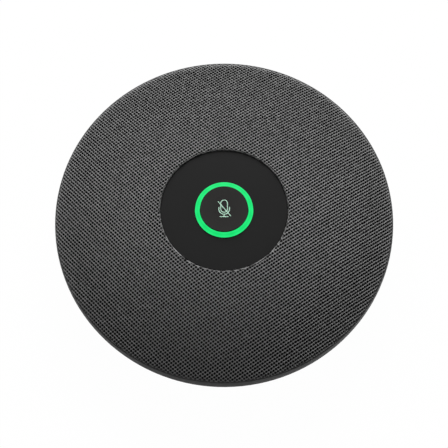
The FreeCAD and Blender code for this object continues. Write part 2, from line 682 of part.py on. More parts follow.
def make_speaker_gasket():
    body = ring("speaker_gasket", BASKET_RADIUS + s.basket_wall, s.flange_radius,
                s.baffle_top, FLANGE_UNDER)
    hole = Outline(body, "XY_Plane", FLANGE_UNDER).circle(
        *spot(SPEAKER_SCREW_RADIUS, SCREW_TURN), s.small_shank + s.seat_gap * 2)
    around(body, pocket(body, hole, s.gasket_thick), SPEAKER_SCREWS)


def make_motor():
    ring("top_plate", s.pole_radius + GAP_WIDTH, MOTOR_RADIUS, PLATE_UNDER, PLATE_TOP)
    ring("magnet", MAGNET_BORE, MOTOR_RADIUS - s.basket_wall, MAGNET_UNDER, PLATE_UNDER)
    lathe(new_body("yoke"), [
        (s.vent_radius, YOKE_UNDER), (MOTOR_RADIUS, YOKE_UNDER), (MOTOR_RADIUS, MAGNET_UNDER),
        (s.pole_radius, MAGNET_UNDER), (s.pole_radius, PLATE_TOP), (s.vent_radius, PLATE_TOP)])


def make_moving_cone():
    """Coil, cone and cap travel together; the surround and the spider give with them."""
    former = s.pole_radius + s.gap_clear
    coil = former + s.coil_thick
    neck = SHELF + s.neck_rise
    coil_low = MAGNET_UNDER + s.top_plate_thick
    coil_step = PLATE_UNDER - s.top_plate_thick / 2
    lathe(new_body("voice_coil"), [
        (former, coil_low), (coil, coil_low), (coil, coil_step),
        (coil + s.winding_thick, coil_step), (coil + s.winding_thick, PLATE_TOP + s.gap_clear),
        (coil, PLATE_TOP + s.gap_clear), (coil, neck), (former, neck)])
    rise = (FLANGE_TOP - neck) / (CONE_RADIUS - coil)
    lathe(new_body("speaker_cone"), [
        (coil, neck - s.cone_thick), (CONE_RADIUS, FLANGE_TOP - s.cone_thick),
        (CONE_RADIUS, FLANGE_TOP), (coil, neck)])
    cap_seat = neck + rise * (s.cap_radius - coil)
    cap_round = (s.cap_radius * s.cap_radius + s.cap_height * s.cap_height) / (s.cap_height * 2)
    lathe(new_body("dust_cap"), [
        (0, cap_seat + s.cap_height), (s.cap_radius, cap_seat, -cap_round),
        (s.cap_radius, cap_seat + s.cone_thick), (0, cap_seat + s.cap_height + s.cone_thick,
                                                  cap_round)])
    make_soft_rings(coil)


def make_soft_rings(coil):
    thick = s.surround_thick
    inner = CONE_RADIUS + thick
    roll_in, roll_out = inner + thick, BASKET_RADIUS - s.basket_wall - thick
    half = (roll_out - roll_in) / 2
    lathe(new_body("surround"), [
        (inner, FLANGE_TOP), (roll_in, FLANGE_TOP), (roll_out, FLANGE_TOP, -half * ROLL_ROUND),
        (BASKET_RADIUS + thick, FLANGE_TOP), (BASKET_RADIUS + thick, FLANGE_TOP + thick),
        (roll_out + thick, FLANGE_TOP + thick), (inner, FLANGE_TOP + thick, (half + thick) * ROLL_ROUND)])
    spider_in, spider_out = coil + thick, BASKET_FOOT - s.basket_wall / 2 - thick
    middle = (spider_in + spider_out) / 2
    wave = spider_out - spider_in
    lathe(new_body("spider"), [
        (spider_in, SHELF), (middle, SHELF, wave), (spider_out, SHELF, -wave),
        (spider_out, SHELF + thick), (middle, SHELF + thick, wave), (spider_in, SHELF + thick, -wave)])


# ---------------------------------------------------------------- electronics

def make_main_board():
    body = new_body("main_board")
    plate = Outline(body, "XY_Plane", BOARD_UNDER).circle(0, 0, BOARD_RADIUS)
    plate.circle(0, 0, MOTOR_RADIUS + s.board_room)
    pad(body, plate, s.board_thick)
    bay = Outline(body, "XY_Plane", BOARD_TOP).box(
        AXIS, -(BATTERY_OFFSET + BOARD_RADIUS) / 2 + s.battery_room / 2,
        s.battery_length + s.battery_room, BOARD_RADIUS - BATTERY_OFFSET + s.battery_room)
    pocket(body, bay, s.board_thick)
    around_boss = Outline(body, "XY_Plane", BOARD_TOP).circle(
        *spot(FOOT_RADIUS, SCREW_TURN), s.boss_radius + s.button_clear)
    around(body, pocket(body, around_boss, s.board_thick), CASE_SCREWS)
    hole = Outline(body, "XY_Plane", BOARD_TOP).circle(
        *spot(s.board_screw_radius, SCREW_TURN), s.small_shank + s.seat_gap)
    around(body, pocket(body, hole, s.board_thick), BOARD_SCREWS)
    make_board_chips()


def make_board_chips():
    """Processor, memory, power, codec and radio: place as a share of the board's radius."""
    body = new_body("board_chips")
    chips = Outline(body, "XY_Plane", BOARD_TOP)
    for across, up, width, height in (
            (-0.70, 0.18, 9, 9), (-0.70, -0.12, 6, 8), (0.66, 0.24, 5, 5), (0.66, -0.02, 6, 6),
            (0.0, 0.66, 13, 9), (0.68, -0.24, 4, 4)):
        chips.box(BOARD_RADIUS * across, BOARD_RADIUS * up, Size.of(width), Size.of(height))
    pad(body, chips, s.chip_height)


def make_battery():
    middle = -(BATTERY_OFFSET + s.battery_width / 2)
    glue = new_body("battery_pad")
    pad(glue, Outline(glue, "XY_Plane", FLOOR_TOP).box(
        AXIS, middle, s.battery_length - s.battery_room * 2,
        s.battery_width - s.battery_room), s.pad_thick)
    cell_body = new_body("battery")
    made = pad(cell_body, Outline(cell_body, "XY_Plane", FLOOR_TOP + s.pad_thick).box(
        AXIS, middle, s.battery_length, s.battery_width), s.battery_thick)
    edges = ["Edge%d" % (index + 1) for index, edge in enumerate(made.Shape.Edges)
             if abs(edge.tangentAt(edge.FirstParameter).x) > 0.99]
    rounded = feature(cell_body, "Fillet", "round", Base=(made, edges))
    bind(rounded, "Radius", s.battery_round)
    doc.recompute()


def make_microphones():
    ring("mic_board", MIC_RADIUS - s.mic_board_width / 2, MIC_RADIUS + s.mic_board_width / 2,
         s.baffle_top, MIC_SEAT)
    mics = new_body("microphones")
    can = Outline(mics, "XY_Plane", MIC_SEAT).box(
        MIC_RADIUS, AXIS, s.mic_width, s.mic_length)
    around(mics, pad(mics, can, s.mic_height), MICROPHONES)
    boots = new_body("mic_gaskets")
    boot_radius = s.mic_width / 2
    top = dome_height(MIC_RADIUS + boot_radius, GRILLE_DEPTH + s.grille_thick) - s.seat_gap
    boot = Outline(boots, "XY_Plane", MIC_SEAT + s.mic_height).circle(
        MIC_RADIUS, 0, boot_radius).circle(MIC_RADIUS, 0, s.mic_port)
    around(boots, pad(boots, boot, top - MIC_SEAT - s.mic_height), MICROPHONES)


def make_port_socket():
    body = new_body("port_socket")
    pad(body, Outline(body, "XZ_Plane", -PORT_FACE).stadium(
        PORT_MIDDLE, s.port_width, s.port_height), s.port_depth)
    mouth = Outline(body, "XZ_Plane", s.port_mouth - PORT_FACE).stadium(
        PORT_MIDDLE, s.port_width - s.port_wall * 2, s.port_height - s.port_wall * 2)
    pocket(body, mouth, s.port_mouth)
    tongue = new_body("port_tongue")
    pad(tongue, Outline(tongue, "XZ_Plane", s.port_wall * 2 - PORT_FACE).box(
        AXIS, PORT_MIDDLE, s.tongue_width, s.port_tongue_thick), s.port_mouth - s.port_wall * 2)


def make_side_button(label, turn):
    """A cap through the shell, wings that keep it in, and the switch that it presses."""
    face = SHELL_RADIUS - s.button_proud / 2
    wing_back = WING_FACE - s.button_wing_thick
    cap = new_body(label + "_button", turn)
    pad(cap, Outline(cap, "XZ_Plane", -face).stadium(
        BUTTON_MIDDLE, s.button_length, s.button_height), face - wing_back)
    pad(cap, Outline(cap, "XZ_Plane", -WING_FACE).box(
        AXIS, BUTTON_MIDDLE, s.button_length + s.button_wing * 2,
        s.button_height), s.button_wing_thick)
    case = new_body(label + "_switch", turn)
    middle = BOARD_TOP + s.button_switch_height / 2
    outline = Outline(case, "XZ_Plane", -SWITCH_FACE).box(
        AXIS, middle, s.button_switch_width, s.button_switch_height)
    outline.circle(0, middle, s.button_plunger + s.seat_gap)
    pad(case, outline, s.button_switch_depth)
    plunger = new_body(label + "_plunger", turn)
    pad(plunger, Outline(plunger, "XZ_Plane", -wing_back).circle(
        0, middle, s.button_plunger), wing_back - SWITCH_FACE + s.plunger_sunk * 2)


# ---------------------------------------------------------------- screws

def screws(label, count, place, shank, head, seat, tip, head_thick, radius):
    """A group of screws; the tip and the head's top say which way they point."""
    body = new_body(label)
    low, length = (tip, seat - tip) if tip.value < seat.value else (seat, tip - seat)
    stem = pad(body, Outline(body, "XY_Plane", low).circle(*spot(radius, place), shank), length)
    cap_low = seat if tip.value < seat.value else seat - head_thick
    cap = pad(body, Outline(body, "XY_Plane", cap_low).circle(*spot(radius, place), head), head_thick)
    pattern = feature(body, "PolarPattern", "around", Originals=[stem, cap], Angle=360,
                      Occurrences=count, Axis=(origin_part(body, "Z_Axis"), [""]))
    body.Tip = pattern
    doc.recompute()


def make_screws():
    screws("case_screws", CASE_SCREWS, SCREW_TURN, s.case_shank, s.case_head, HEAD_SEAT,
           s.boss_top + s.case_screw_depth, s.case_head_thick, FOOT_RADIUS)
    screws("board_screws", BOARD_SCREWS, SCREW_TURN, s.small_shank, s.small_head, BOARD_TOP,
           FLOOR_TOP - s.floor_thick / 4, s.small_head_thick, s.board_screw_radius)
    screws("speaker_screws", SPEAKER_SCREWS, SCREW_TURN, s.small_shank, s.small_head, FLANGE_TOP,
           BAFFLE_UNDER + s.seat_gap, s.small_head_thick, SPEAKER_SCREW_RADIUS)
    screws("control_screws", CONTROL_SCREWS, CONTROL_TURN, s.small_shank, s.small_head, CONTROL_TOP,
           POD_UNDER + s.seat_gap, s.small_head_thick, CONTROL_SCREW_RADIUS)


# ---------------------------------------------------------------- the whole puck

def build():
    make_bottom_shell()
    make_foot_ring()
    make_rim_ring()
    make_baffle()
    make_grille_frame()
    make_fabric_cover()
    make_top_panel()
    make_light_ring()
    make_mute_key()
    make_control_board()
    make_mute_switch()
    make_speaker_frame()
    make_speaker_gasket()
    make_motor()
    make_moving_cone()
    make_main_board()
    make_battery()
    make_microphones()
    make_port_socket()
    make_side_button("power", -s.button_angle)
    make_side_button("pairing", s.button_angle)
    make_screws()


def check_and_write():
    doc.recompute()
    for thing in doc.Objects:
        if "Invalid" in thing.State or "Error" in thing.State:
            raise RuntimeError("%s did not build: %s" % (thing.Label, thing.State))
    for body in NODES:
        if body.Shape.isNull() or not body.Shape.isValid() or not body.Shape.Solids:
            raise RuntimeError(body.Label + " has no valid solid")
    os.makedirs("parts", exist_ok=True)
    for body in NODES:
        body.Shape.exportStep("parts/%s.step" % body.Label)
        print("%-16s %2d solids %9.1f mm3" % (body.Label, len(body.Shape.Solids), body.Shape.Volume))


build()
check_and_write()
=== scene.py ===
"""The looks of a round conference speakerphone: knitted dome, mute key in a light ring, satin rim.

Metres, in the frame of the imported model: +Z up, the port and the side buttons at the rear on +Y.
"""
import json
import math

import bmesh
import bpy
import numpy as np
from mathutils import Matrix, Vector


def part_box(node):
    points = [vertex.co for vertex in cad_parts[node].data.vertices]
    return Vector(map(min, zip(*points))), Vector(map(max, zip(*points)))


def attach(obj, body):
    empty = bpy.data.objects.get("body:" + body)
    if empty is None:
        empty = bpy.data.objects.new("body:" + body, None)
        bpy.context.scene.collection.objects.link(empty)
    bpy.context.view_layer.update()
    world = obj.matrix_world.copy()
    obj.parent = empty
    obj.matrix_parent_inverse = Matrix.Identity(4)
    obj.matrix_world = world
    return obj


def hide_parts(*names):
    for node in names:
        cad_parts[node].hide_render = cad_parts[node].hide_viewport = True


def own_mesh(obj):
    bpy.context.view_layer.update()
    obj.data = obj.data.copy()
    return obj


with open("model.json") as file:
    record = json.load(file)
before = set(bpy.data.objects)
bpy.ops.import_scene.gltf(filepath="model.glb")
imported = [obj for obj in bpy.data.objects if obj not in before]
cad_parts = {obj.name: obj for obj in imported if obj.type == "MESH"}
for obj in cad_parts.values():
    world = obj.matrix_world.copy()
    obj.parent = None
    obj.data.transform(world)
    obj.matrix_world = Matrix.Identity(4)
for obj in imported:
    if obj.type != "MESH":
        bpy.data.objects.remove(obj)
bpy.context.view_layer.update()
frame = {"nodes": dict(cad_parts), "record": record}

MM = 0.001
ROUNDING = 1e-9

# Places read from the frame
PANEL_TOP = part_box("top_panel")[1].z
PANEL_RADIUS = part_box("top_panel")[1].x
KEY_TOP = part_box("mute_key")[1].z
HEM_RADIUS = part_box("fabric_cover")[1].x
DOME_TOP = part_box("fabric_cover")[1].z

# The key, its ring of light and the rubbed crest of the rim band
KEY_RADIUS = 8.65 * MM
RING_INNER = 8.85 * MM
RING_OUTER = 10.4 * MM
LAMP_COUNT = 12
CREST_INNER = 61.7 * MM
CREST_OUTER = 62.0 * MM

# The section of the knitted skin
DOME_RADIUS = 193.44 * MM
WELL_RADIUS = PANEL_RADIUS + 0.15 * MM
ROLL = 0.15 * MM
TUCK_BOTTOM = PANEL_TOP - 1.4 * MM
BROW_RADIUS = 59.5 * MM
SHOULDER = 5.2 * MM
# the knit stops this far short of the hem, so the near-black backing shows there as a painted shadow
# line
HEM_SHORT = 0.22 * MM
BACKING_DEPTH = 0.62 * MM
ROLL_STEPS = 10
DOME_STEPS = 60
SHOULDER_STEPS = 14
TURN_STEPS = 192

# One stitch of the knit
STITCH_WIDTH = 1.66 * MM
STITCH_LENGTH = 1.38 * MM
STITCH_TURN = math.radians(-6.5)
STITCH_SIDES = 8
HOLE_HALF_WIDTH = 0.39 * MM
HOLE_HALF_LENGTH = 0.45 * MM
CORD_DEPTH = 0.34 * MM
KNUCKLE_RISE = 0.07 * MM
OVER_RISE = 0.01 * MM
UNDER_RISE = -0.04 * MM
JOIN_WITHIN = 0.02 * MM

# How far the cords stray from an even net, and over what distance that changes
CORD_LIFT = 0.07 * MM
CORD_SPREAD = 0.08 * MM
CORD_BALANCE = 0.15
WANDER = 0.34 * MM
WANDER_SIZE = 9 * MM
JITTER = 0.30 * MM
JITTER_SIZE = 0.8 * MM
RELIEF = 0.16 * MM
RELIEF_SIZE = 1.7 * MM
SEED_SHIFT = 11.3

# Painted light and shade in the yarn's colour: lighter near the well, darker out to the brow, and
# darker in the fold at the well
PAINTED_FADE_FROM = 28 * MM
PAINTED_FADE_TO = 56 * MM
PAINTED_FADE_AT_FROM = 1.70
PAINTED_FADE_AT_TO = 0.95
FOLD_START = WELL_RADIUS + 0.5 * ROLL
FOLD_END = WELL_RADIUS + 1.4 * ROLL
FOLD_PAINTED_SHADE = 0.50

# The printed symbol on the key
SYMBOL_LINE = 0.30 * MM
SYMBOL_PROUD = 0.03 * MM
KEY_DISH = 0.12 * MM
CAPSULE_RADIUS = 1.19 * MM
CAPSULE_TOP = 2.15 * MM
CAPSULE_FOOT = -0.10 * MM
CRADLE_RADIUS = 1.90 * MM
CRADLE_TOP = 0.62 * MM
BASE_HALF = 1.42 * MM
BASE_PLACE = -2.95 * MM
SLASH_FROM = (-2.08 * MM, 2.71 * MM)
SLASH_TO = (2.30 * MM, -2.62 * MM)
CAPSULE_STEPS = 24
CRADLE_STEPS = 30
CAP_STEPS = 9

# The contacts on the port's tongue
CONTACT_COUNT = 12
CONTACT_PITCH = 0.5 * MM
CONTACT_WIDTH = 0.25 * MM
CONTACT_LENGTH = 3.2 * MM
CONTACT_THICK = 0.04 * MM
CONTACT_SETBACK = 0.5 * MM

# The spider: how near its vertices must be to be joined
SPIDER_JOIN_WITHIN = 0.001 * MM

# The stage
FLOOR_HALF = 4.0
FLOOR_GAP = 0.02 * MM
FLOOR_WHITE_SHARE = 0.985
WORLD_LIGHT = 0.08
WORLD_GLOSS_SHARE = 0.6
STAGE_MIDDLE = (0, 0, 0.01)
SOFTBOXES = {  # name: place, width, height, watts
    "softbox_back": ((0, 0.88, 0.45), 1.0, 0.5, 22.0),
    "softbox_left": ((-0.62, -0.20, 0.11), 0.30, 0.2, 2.5),
    "softbox_right": ((0.62, -0.20, 0.11), 0.30, 0.2, 3.3),
    "softbox_under": ((0.1, 0.1, -0.8), 0.5, 0.5, 3.0),
}
CAMERA_PLACE = (0, -0.1674, 0.5055)
CAMERA_AIM = (-0.00005, 0.00005, 0.0082)
CAMERA_LENS = 113.8
CAMERA_SENSOR = 36.0


# ---------------------------------------------------------------- node trees

def pick(sockets, key):
    """The enabled socket with that place in the list, name or identifier."""
    shown = [socket for socket in sockets if socket.enabled]
    if isinstance(key, int):
        return shown[key]
    return next(socket for socket in shown if key in (socket.name, socket.identifier))


class Wire:
    """An output socket. An expression on it adds Math nodes to its tree."""

    def __init__(self, nodes, node, key=0):
        self.nodes = nodes
        self.node = node
        self.socket = pick(node.outputs, key)

    def __getitem__(self, key):
        return Wire(self.nodes, self.node, key)

    def __add__(self, other):
        return self.nodes.math("ADD", self, other)

    def __sub__(self, other):
        return self.nodes.math("SUBTRACT", self, other)

    def __mul__(self, other):
        return self.nodes.math("MULTIPLY", self, other)

    def __truediv__(self, other):
        return self.nodes.math("DIVIDE", self, other)

    def __rsub__(self, other):
        return self.nodes.math("SUBTRACT", other, self)

    def __rtruediv__(self, other):
        return self.nodes.math("DIVIDE", other, self)

    __radd__ = __add__
    __rmul__ = __mul__


class Nodes:
    """A node tree that grows by calls."""

    def __init__(self, tree):
        self.tree = tree

    def add(self, kind, settings, inputs):
        """A node of that type: its settings first, then the values or links of its sockets."""
        node = self.tree.nodes.new(kind)
        for name, value in settings.items():
            setattr(node, name, value)
        for key, value in inputs.items():
            socket = pick(node.inputs, key)
            if isinstance(value, Wire):
                self.tree.links.new(value.socket, socket)
            else:
                socket.default_value = value
        return Wire(self, node) if node.outputs else None

    def math(self, operation, *values):
        return self.add("ShaderNodeMath", {"operation": operation}, dict(enumerate(values)))

    def vector(self, operation, *values):
        return self.add("ShaderNodeVectorMath", {"operation": operation}, dict(enumerate(values)))

    def scaled(self, vector, factor):
        return self.add("ShaderNodeVectorMath", {"operation": "SCALE"}, {
            "Vector": vector, "Scale": factor,
        })

    def parts(self, vector):
        """Its X, Y and Z."""
        return self.add("ShaderNodeSeparateXYZ", {}, {"Vector": vector})

    def radius(self, place):
        """The distance of a place from the Z axis."""
        parts = self.parts(place)
        return self.math("SQRT", parts["X"] * parts["X"] + parts["Y"] * parts["Y"])

    def angle(self, place):
        """The angle of a place round the Z axis."""
        parts = self.parts(place)
        return self.math("ARCTAN2", parts["Y"], parts["X"])

    def mix(self, factor, first, second):
        return self.add("ShaderNodeMix", {"data_type": "RGBA"}, {
            "Factor": factor, "A": first, "B": second,
        })

    def span(self, value, low, high, to_low=0.0, to_high=1.0):
        """The value carried from one range to another, and held inside it."""
        return self.add("ShaderNodeMapRange", {}, {
            "Value": value, "From Min": low, "From Max": high, "To Min": to_low, "To Max": to_high,
        })


class Paint(Nodes):
    """One material's tree, on Object coordinates."""

    def __init__(self, name):
        self.material = bpy.data.materials.new(name)
        self.material.use_nodes = True
        super().__init__(self.material.node_tree)
        self.tree.nodes.clear()
        self.place = self.add("ShaderNodeTexCoord", {}, {})["Object"]

    def noise(self, size, detail=2.0, roughness=0.5, place=None):
        """Noise from 0 to 1 whose lumps are about size metres across."""
        return self.add("ShaderNodeTexNoise", {}, {
            "Vector": place or self.place, "Scale": 1 / size, "Detail": detail, "Roughness": roughness,
        })

    def cells(self, size):
        """Cells about size metres across."""
        return self.add("ShaderNodeTexVoronoi", {}, {"Vector": self.place, "Scale": 1 / size})

    def bump(self, height, distance):
        return self.add("ShaderNodeBump", {}, {"Height": height, "Distance": distance})

    def done(self, inputs):
        """Ends the tree: one Principled shader, and the material that it makes."""
        shader = self.add("ShaderNodeBsdfPrincipled", {}, inputs)
        self.add("ShaderNodeOutputMaterial", {}, {"Surface": shader})
        return self.material


def grey(value):
    return (value, value, value, 1.0)


def tint(red, green, blue):
    return (red, green, blue, 1.0)


# ---------------------------------------------------------------- materials

def moulded(name, low, high, roughness, grain, depth):
    """Moulded plastic: a spark-eroded grain, a slow drift of shade and of gloss."""
    paint = Paint(name)
    drift = paint.noise(9 * MM, 3.0)
    spark = paint.noise(grain, 2.0, 0.6)
    squeezed = paint.vector("MULTIPLY", paint.place, (1.0, 1.0, 3.0))
    rub = paint.noise(2.2 * MM, 4.0, 0.65, squeezed)
    return paint.done({
        "Base Color": paint.mix(drift, low, high),
        "Roughness": paint.span(rub + spark * 0.4, 0.4, 1.0, roughness - 0.05, roughness + 0.07),
        "Normal": paint.bump(spark, depth),
        "Specular IOR Level": 0.08,
    })


def shell_plastic():
    return moulded("shell_plastic", grey(0.012), grey(0.016), 0.72, 0.16 * MM, 0.012 * MM)


def rim_plastic():
    """Satin coated band: a fine fleck under the coat and a faint rub along its crest."""
    paint = Paint("rim_plastic")
    drift = paint.noise(12 * MM, 3.0)
    fleck = paint.noise(0.22 * MM, 2.0, 0.6)
    crest = paint.span(paint.radius(paint.place), CREST_INNER, CREST_OUTER)
    colour = paint.mix(drift, grey(0.066), grey(0.076))
    return paint.done({
        "Base Color": paint.mix(crest * fleck * 0.25, colour, grey(0.10)),
        "Specular IOR Level": 0.02,
        "Roughness": paint.span(fleck, 0.3, 0.7, 0.55, 0.65),
        "Normal": paint.bump(fleck, 0.006 * MM),
    })


def foot_rubber():
    """Soft rubber with a matt bloom and specks of dust."""
    paint = Paint("foot_rubber")
    bloom = paint.noise(4 * MM, 4.0, 0.6)
    pore = paint.noise(0.35 * MM, 2.0)
    dust = paint.span(paint.noise(0.8 * MM, 5.0, 0.75), 0.60, 0.72)
    colour = paint.mix(bloom, grey(0.012), grey(0.020))
    return paint.done({
        "Base Color": paint.mix(dust * 0.4, colour, tint(0.075, 0.072, 0.066)),
        "Roughness": paint.span(bloom, 0.3, 0.7, 0.78, 0.9),
        "Normal": paint.bump(pore, 0.02 * MM),
    })


def frame_plastic():
    return moulded("frame_plastic", grey(0.010), grey(0.014), 0.62, 0.2 * MM, 0.015 * MM)


def panel_plastic():
    """The dark panel: an even satin with the faintest grain."""
    paint = Paint("panel_plastic")
    drift = paint.noise(14 * MM, 2.0)
    grain = paint.noise(0.12 * MM, 2.0, 0.6)
    smear = paint.noise(5 * MM, 5.0, 0.7)
    return paint.done({
        "Base Color": paint.mix(drift, grey(0.0026), grey(0.0034)),
        "Specular IOR Level": 0.138,
        "Roughness": paint.span(smear + grain * 0.3, 0.4, 0.9, 0.52, 0.60),
        "Normal": paint.bump(grain, 0.004 * MM),
    })


def key_plastic():
    """The key: a touch lighter and warmer, polished where fingers land."""
    paint = Paint("key_plastic")
    grain = paint.noise(0.14 * MM, 2.0, 0.6)
    smear = paint.noise(3 * MM, 5.0, 0.7)
    worn = paint.span(paint.radius(paint.place), 2 * MM, 8 * MM)
    colour = paint.mix(smear, tint(0.0090, 0.0086, 0.0080), tint(0.0110, 0.0105, 0.0098))
    return paint.done({
        "Base Color": colour,
        "Specular IOR Level": 0.15,
        "Roughness": paint.span(worn + smear * 0.3, 0.0, 1.2, 0.44, 0.56),
        "Normal": paint.bump(grain, 0.004 * MM),
    })


def light_guide():
    """Frosted guide lit green by the lamps under it, a little brighter over each and at its edges."""
    paint = Paint("light_guide")
    beat = paint.math("COSINE", paint.angle(paint.place) * LAMP_COUNT) * 0.5 + 0.5
    middle = (RING_INNER + RING_OUTER) / 2
    half = (RING_OUTER - RING_INNER) / 2
    edge = paint.math("ABSOLUTE", paint.radius(paint.place) - middle) / half
    glow = paint.span(edge * 0.8 + beat * 0.35 + paint.noise(1.6 * MM) * 0.3, 0.2, 1.4)
    return paint.done({
        "Base Color": tint(0.004, 0.05, 0.02),
        "Specular IOR Level": 0.02,
        "Roughness": paint.span(paint.noise(0.2 * MM), 0.3, 0.7, 0.5, 0.6),
        "Emission Color": paint.mix(glow, tint(0.006, 0.70, 0.150), tint(0.024, 0.88, 0.225)),
        "Emission Strength": 1.0,
        "Normal": paint.bump(paint.noise(0.15 * MM), 0.004 * MM),
    })


def symbol_print():
    """The key's see-through print, lit by spill from the ring."""
    paint = Paint("symbol_print")
    patch = paint.noise(0.9 * MM, 3.0)
    return paint.done({
        "Base Color": paint.mix(patch, tint(0.26, 0.40, 0.32), tint(0.34, 0.50, 0.40)),
        "Roughness": paint.span(patch, 0.3, 0.7, 0.45, 0.55),
        "Emission Color": paint.mix(patch, tint(0.20, 0.42, 0.29), tint(0.26, 0.50, 0.36)),
        "Emission Strength": 0.45,
    })


def knit_yarn():
    """Charcoal yarn with pale fibres. Painted shade where a cord dives into a hole, painted light on
    the raised crests, painted light near the well that fades to painted shade out to the brow, and
    painted shade in the fold at the well.
    """
    paint = Paint("knit_yarn")
    lift = paint.add("ShaderNodeAttribute", {"attribute_name": "lift"}, {})["Fac"]
    patch = paint.noise(1.1 * MM, 3.0, 0.6)
    fibre = paint.noise(0.10 * MM, 3.0, 0.7)
    # painted shade: the yarn turns near-black where a cord dives into a hole
    hole_painted_shade = paint.span(lift, -1.0, -0.55)
    # painted light: the raised crests of the cords are lighter
    crest = paint.span(lift, -0.35, 0.30)
    cord = paint.mix(patch, grey(0.070), grey(0.130))
    cord = paint.mix(crest, cord, grey(0.250))
    cord = paint.mix(paint.span(fibre, 0.55, 0.75) * 0.4, cord, grey(0.28))
    radius = paint.radius(paint.place)
    # painted light and shade: the yarn is lighter near the well and darker out towards the rim
    shade = paint.span(radius, PAINTED_FADE_FROM, PAINTED_FADE_TO, PAINTED_FADE_AT_FROM, PAINTED_FADE_AT_TO)
    # painted shade: the yarn is darker in the fold where the skin turns down into the well
    fold = paint.span(radius, FOLD_START, FOLD_END, FOLD_PAINTED_SHADE, 1.0)
    cord = paint.vector("MULTIPLY", cord, shade)
    cord = paint.vector("MULTIPLY", cord, fold)
    return paint.done({
        "Base Color": paint.mix(hole_painted_shade, grey(0.006), cord),
        "Roughness": paint.span(fibre, 0.3, 0.7, 0.66, 0.86),
        "Normal": paint.bump(fibre, 0.05 * MM),
        "Sheen Weight": 0.15,
        "Sheen Roughness": 0.5,
    })


def backing_cloth():
    """The black scrim under the knit. Its near-black is painted shade: it stands for the shadow seen
    through the holes, and it shows as a dark shadow line below the knit's hem.
    """
    paint = Paint("backing_cloth")
    felt = paint.noise(0.3 * MM, 4.0, 0.7)
    return paint.done({
        "Base Color": paint.mix(felt, grey(0.0025), grey(0.007)),
        "Roughness": paint.span(felt, 0.3, 0.7, 0.88, 1.0),
        "Normal": paint.bump(felt, 0.05 * MM),
        "Specular IOR Level": 0.2,
    })


def board_laminate():
    """Green solder mask over copper runs and pours, with pale pads."""
    paint = Paint("board_laminate")
    runs = paint.add("ShaderNodeTexBrick", {"offset": 0.5, "squash": 2.2, "squash_frequency": 3}, {
        "Vector": paint.place, "Scale": 260.0,
        "Color1": grey(0.0), "Color2": grey(0.12), "Mortar": grey(1.0),
        "Mortar Size": 0.03, "Brick Width": 1.4, "Row Height": 0.35,
    })
    pads = paint.span(paint.cells(2.6 * MM)["Distance"], 0.17, 0.13)
    mask = paint.mix(runs["Color"], tint(0.005, 0.060, 0.028), tint(0.012, 0.115, 0.052))
    return paint.done({
        "Base Color": paint.mix(pads, mask, tint(0.55, 0.55, 0.52)),
        "Roughness": paint.span(pads, 0.0, 1.0, 0.34, 0.28),
        "Normal": paint.bump(runs["Color"], 0.02 * MM),
    })


def chip_black():
    return moulded("chip_black", grey(0.014), grey(0.020), 0.6, 0.1 * MM, 0.01 * MM)


def led_lens():
    """Small lamps: a yellow phosphor pool in a white body, lit green."""
    paint = Paint("led_lens")
    grain = paint.noise(0.25 * MM, 3.0)
    return paint.done({
        "Base Color": paint.mix(grain, tint(0.70, 0.82, 0.45), tint(0.85, 0.88, 0.70)),
        "Roughness": paint.span(grain, 0.3, 0.7, 0.25, 0.4),
        "Emission Color": paint.mix(grain, tint(0.02, 0.75, 0.17), tint(0.05, 0.95, 0.28)),
        "Emission Strength": 0.8,
    })


def metal(name, low, high, roughness, scratch):
    """Plated metal with fine scratches round the axis and stains."""
    paint = Paint(name)
    stain = paint.noise(3 * MM, 4.0, 0.65)
    squeezed = paint.vector("MULTIPLY", paint.place, (1.0, 1.0, 8.0))
    lines = paint.noise(scratch, 2.0, 0.5, squeezed)
    return paint.done({
        "Base Color": paint.mix(stain, low, high),
        "Metallic": 1.0,
        "Roughness": paint.span(stain + lines * 0.5, 0.4, 1.0, roughness - 0.06, roughness + 0.1),
        "Normal": paint.bump(lines, 0.006 * MM),
    })


def steel():
    return metal("steel", grey(0.50), grey(0.62), 0.30, 0.3 * MM)


def coil_copper():
    return metal("coil_copper", tint(0.78, 0.33, 0.18), tint(0.90, 0.44, 0.26), 0.32, 0.1 * MM)


def cell_foil():
    """The battery's pouch: dull aluminium laminate, slightly creased."""
    paint = Paint("cell_foil")
    crease = paint.noise(5 * MM, 4.0, 0.6)
    fine = paint.noise(0.3 * MM, 2.0)
    return paint.done({
        "Base Color": paint.mix(crease, grey(0.52), grey(0.64)),
        "Metallic": 1.0,
        "Roughness": paint.span(fine, 0.3, 0.7, 0.34, 0.46),
        "Normal": paint.bump(crease, 0.25 * MM),
    })


def contact_metal():
    return metal("contact_metal", tint(0.58, 0.57, 0.54), tint(0.70, 0.68, 0.64), 0.24, 0.2 * MM)


def contact_gold():
    return metal("contact_gold", tint(0.74, 0.55, 0.26), tint(0.88, 0.68, 0.36), 0.24, 0.2 * MM)


def ferrite():
    """Sintered magnet: dark grey, pitted."""
    paint = Paint("ferrite")
    pits = paint.span(paint.noise(0.4 * MM, 4.0, 0.7), 0.42, 0.62)
    return paint.done({
        "Base Color": paint.mix(pits, grey(0.028), grey(0.070)),
        "Metallic": 0.3,
        "Roughness": paint.span(pits, 0.0, 1.0, 0.75, 0.5),
        "Normal": paint.bump(pits, 0.04 * MM),
    })


def cone_paper():
    """Pressed pulp: fibres and a soft mottle."""
    paint = Paint("cone_paper")
    pulp = paint.noise(0.35 * MM, 5.0, 0.75)
    return paint.done({
        "Base Color": paint.mix(pulp, grey(0.016), grey(0.045)),
        "Roughness": paint.span(pulp, 0.3, 0.7, 0.8, 0.95),
        "Normal": paint.bump(pulp, 0.05 * MM),
    })


def soft_rubber():
    return moulded("soft_rubber", grey(0.012), grey(0.018), 0.7, 0.4 * MM, 0.02 * MM)


